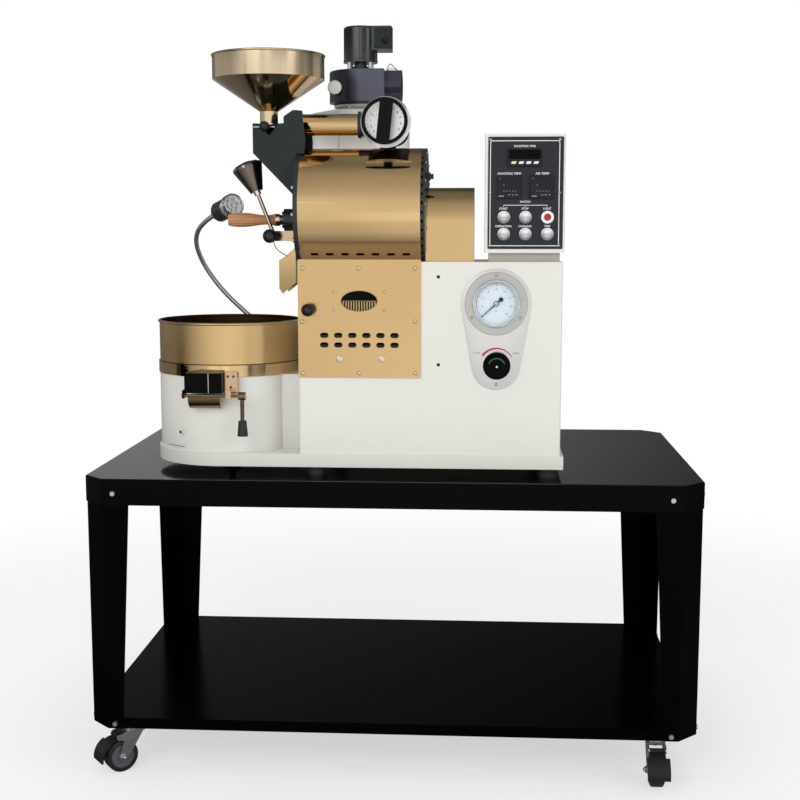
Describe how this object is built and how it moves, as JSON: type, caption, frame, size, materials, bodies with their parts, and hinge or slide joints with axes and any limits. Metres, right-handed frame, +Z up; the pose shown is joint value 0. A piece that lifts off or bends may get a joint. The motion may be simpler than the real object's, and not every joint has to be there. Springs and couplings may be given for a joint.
{
  "type": "electric coffee roaster",
  "caption": "Electric drum coffee roaster on a wheeled steel cart, with hopper, round cooling bin, cyclone with exhaust fan, gauge and control box.",
  "frame": {"origin": "floor under the middle of the cart, midway between its sides and between its front and back", "axes": "+Z up, +X to the operator's right, +Y away from the operator"},
  "size_m": [1.216, 0.7768, 1.511],
  "materials": {
    "gloss_black": "gloss black powder coat",
    "zinc": "bright zinc plate",
    "tyre": "black rubber on a grey core",
    "black_plastic": "fine matt",
    "cream": "warm white powder coat, semi gloss",
    "rubber": "matt",
    "gold_polished": "polished champagne gold plating",
    "gold_satin": "satin champagne gold",
    "charcoal": "dark charcoal powder coat",
    "black_cast": "satin black enamel",
    "steel": "brushed stainless",
    "anthracite": "matt anthracite",
    "satin_steel": "satin stainless",
    "gloss_knob": "gloss black",
    "bronze": "dark polished bronze",
    "handle_wood": "oiled light wood",
    "copper": "polished copper gold",
    "chrome": "bright chrome"
  },
  "bodies": {
    "base": {"base_plinth": "cream", "bin_hood": "black_cast", "cabinet_shell": "cream", "cart_bolts": "zinc", "cart_legs": "gloss_black", "cart_shelf": "gloss_black", "cart_top": "gloss_black", "caster_plates": "zinc", "control_box": "cream", "control_panel": "anthracite", "cooling_bin": "gold_polished", "cooling_housing": "cream", "cooling_motor": "steel", "cooling_screen": "steel", "cyclone": "cream", "damper_body": "black_cast", "discharge_chute": "gold_satin", "drive_cover": "gold_polished", "drum_cover": "gold_polished", "exhaust_pipe": "copper", "fan_housing": "black_cast", "fan_motor": "black_cast", "feed_chute": "charcoal", "front_plate": "black_cast", "heater_panel": "gold_satin", "heating_elements": "steel", "hopper": "gold_polished", "pressure_gauge": "satin_steel", "rear_plate": "black_cast", "rubber_feet": "rubber", "sight_window": "gold_satin", "work_lamp": "chrome"},
    "drum": {"drum": "steel"},
    "feed_gate": {"feed_gate": "steel"},
    "damper_handle": {"damper_handle": "gloss_knob"},
    "air_shutter": {"air_shutter": "steel"},
    "discharge_lever": {"discharge_lever": "bronze"},
    "discharge_gate": {"discharge_gate": "copper"},
    "sampler": {"sampler": "handle_wood"},
    "fan_impeller": {"fan_impeller": "steel"},
    "stirrer": {"stirrer": "steel"},
    "cooling_fan": {"cooling_fan": "steel"},
    "bin_gate": {"bin_gate": "copper"},
    "heat_knob": {"heat_knob": "gloss_knob"},
    "gauge_needle": {"gauge_needle": "black_plastic"},
    "button_1": {"button_1": "steel"},
    "button_2": {"button_2": "steel"},
    "button_3": {"button_3": "steel"},
    "button_4": {"button_4": "steel"},
    "button_5": {"button_5": "steel"},
    "caster_fork_fl": {"caster_fork_fl": "zinc"},
    "caster_wheel_fl": {"caster_wheel_fl": "tyre"},
    "caster_fork_fr": {"caster_fork_fr": "zinc"},
    "caster_wheel_fr": {"caster_wheel_fr": "tyre"},
    "caster_fork_rl": {"caster_fork_rl": "zinc"},
    "caster_wheel_rl": {"caster_wheel_rl": "tyre"},
    "caster_fork_rr": {"caster_fork_rr": "zinc"},
    "caster_wheel_rr": {"caster_wheel_rr": "tyre"},
    "caster_brake_fl": {"caster_brake_fl": "black_plastic"},
    "caster_brake_fr": {"caster_brake_fr": "black_plastic"}
  },
  "joints": [
    {"name": "drum_spin", "type": "hinge", "parent": "base", "child": "drum", "pos_m": [-0.06, -0.17, 1.1146], "axis": [1, 0, 0], "continuous": true},
    {"name": "feed_gate_slide", "type": "slide", "parent": "base", "child": "feed_gate", "axis": [0, -1, 0], "range_m": [0, 0.042]},
    {"name": "damper_turn", "type": "hinge", "parent": "base", "child": "damper_handle", "pos_m": [-0.014, -0.24, 1.2805], "axis": [0, 1, 0], "range_deg": [0, 90]},
    {"name": "air_shutter_slide", "type": "slide", "parent": "base", "child": "air_shutter", "axis": [1, 0, 0], "range_m": [0, 0.01365]},
    {"name": "discharge_lever_pull", "type": "hinge", "parent": "base", "child": "discharge_lever", "pos_m": [-0.24, -0.19, 1.062], "axis": [0, -1, 0], "range_deg": [0, 36]},
    {"name": "discharge_gate_lift", "type": "slide", "parent": "base", "child": "discharge_gate", "axis": [0, 0, 1], "range_m": [0, 0.0176]},
    {"name": "sampler_draw", "type": "slide", "parent": "base", "child": "sampler", "axis": [-1, 0, 0], "range_m": [0, 0.095]},
    {"name": "exhaust_fan_spin", "type": "hinge", "parent": "base", "child": "fan_impeller", "pos_m": [-0.094, 0.11, 1.38], "axis": [0, 0, 1], "continuous": true},
    {"name": "stirrer_spin", "type": "hinge", "parent": "base", "child": "stirrer", "pos_m": [-0.342, -0.143, 0.83], "axis": [0, 0, 1], "continuous": true},
    {"name": "cooling_fan_spin", "type": "hinge", "parent": "base", "child": "cooling_fan", "pos_m": [-0.342, -0.143, 0.71], "axis": [0, 0, 1], "continuous": true},
    {"name": "bin_gate_swing", "type": "hinge", "parent": "base", "child": "bin_gate", "pos_m": [-0.34, -0.321, 0.7554], "axis": [-1, 0, 0], "range_deg": [0, 75]},
    {"name": "heat_knob_turn", "type": "hinge", "parent": "base", "child": "heat_knob", "pos_m": [0.2035, -0.3, 0.814], "axis": [0, 1, 0], "range_deg": [-135, 135]},
    {"name": "gauge_needle_turn", "type": "hinge", "parent": "base", "child": "gauge_needle", "pos_m": [0.2018, -0.297, 0.934], "axis": [0, 1, 0], "range_deg": [0, 260]},
    {"name": "button_1_press", "type": "slide", "parent": "base", "child": "button_1", "axis": [0, 1, 0], "range_m": [0, 0.0025], "stiffness_N_per_m": 400, "springref_m": -0.001},
    {"name": "button_2_press", "type": "slide", "parent": "base", "child": "button_2", "axis": [0, 1, 0], "range_m": [0, 0.0025], "stiffness_N_per_m": 400, "springref_m": -0.001},
    {"name": "button_3_press", "type": "slide", "parent": "base", "child": "button_3", "axis": [0, 1, 0], "range_m": [0, 0.0025], "stiffness_N_per_m": 400, "springref_m": -0.001},
    {"name": "button_4_press", "type": "slide", "parent": "base", "child": "button_4", "axis": [0, 1, 0], "range_m": [0, 0.0025], "stiffness_N_per_m": 400, "springref_m": -0.001},
    {"name": "button_5_press", "type": "slide", "parent": "base", "child": "button_5", "axis": [0, 1, 0], "range_m": [0, 0.0025], "stiffness_N_per_m": 400, "springref_m": -0.001},
    {"name": "caster_fl_swivel", "type": "hinge", "parent": "base", "child": "caster_fork_fl", "pos_m": [-0.52, -0.322, 0.08], "axis": [0, 0, 1], "continuous": true},
    {"name": "caster_fl_roll", "type": "hinge", "parent": "caster_fork_fl", "child": "caster_wheel_fl", "pos_m": [-0.54049, -0.33801, 0.0325], "axis": [0.6157, -0.788, 0], "continuous": true},
    {"name": "caster_fl_brake", "type": "hinge", "parent": "caster_fork_fl", "child": "caster_brake_fl", "pos_m": [-0.54624, -0.3425, 0.07386], "axis": [0.6157, -0.788, 0], "range_deg": [0, 12]},
    {"name": "caster_fr_swivel", "type": "hinge", "parent": "base", "child": "caster_fork_fr", "pos_m": [0.52, -0.322, 0.08], "axis": [0, 0, 1], "continuous": true},
    {"name": "caster_fr_roll", "type": "hinge", "parent": "caster_fork_fr", "child": "caster_wheel_fr", "pos_m": [0.52, -0.348, 0.0325], "axis": [1, 0, 0], "continuous": true},
    {"name": "caster_fr_brake", "type": "hinge", "parent": "caster_fork_fr", "child": "caster_brake_fr", "pos_m": [0.52, -0.35529, 0.07386], "axis": [1, 0, 0], "range_deg": [0, 12]},
    {"name": "caster_rl_swivel", "type": "hinge", "parent": "base", "child": "caster_fork_rl", "pos_m": [-0.52, 0.322, 0.08], "axis": [0, 0, 1], "continuous": true},
    {"name": "caster_rl_roll", "type": "hinge", "parent": "caster_fork_rl", "child": "caster_wheel_rl", "pos_m": [-0.50901, 0.34556, 0.0325], "axis": [-0.9063, 0.4226, 0], "continuous": true},
    {"name": "caster_rr_swivel", "type": "hinge", "parent": "base", "child": "caster_fork_rr", "pos_m": [0.52, 0.322, 0.08], "axis": [0, 0, 1], "continuous": true},
    {"name": "caster_rr_roll", "type": "hinge", "parent": "caster_fork_rr", "child": "caster_wheel_rr", "pos_m": [0.52, 0.348, 0.0325], "axis": [-1, 0, 0], "continuous": true}
  ],
  "couplings": [
    {"joint": "discharge_gate_lift", "follows": "discharge_lever_pull", "m_per_rad": 0.028}
  ]
}
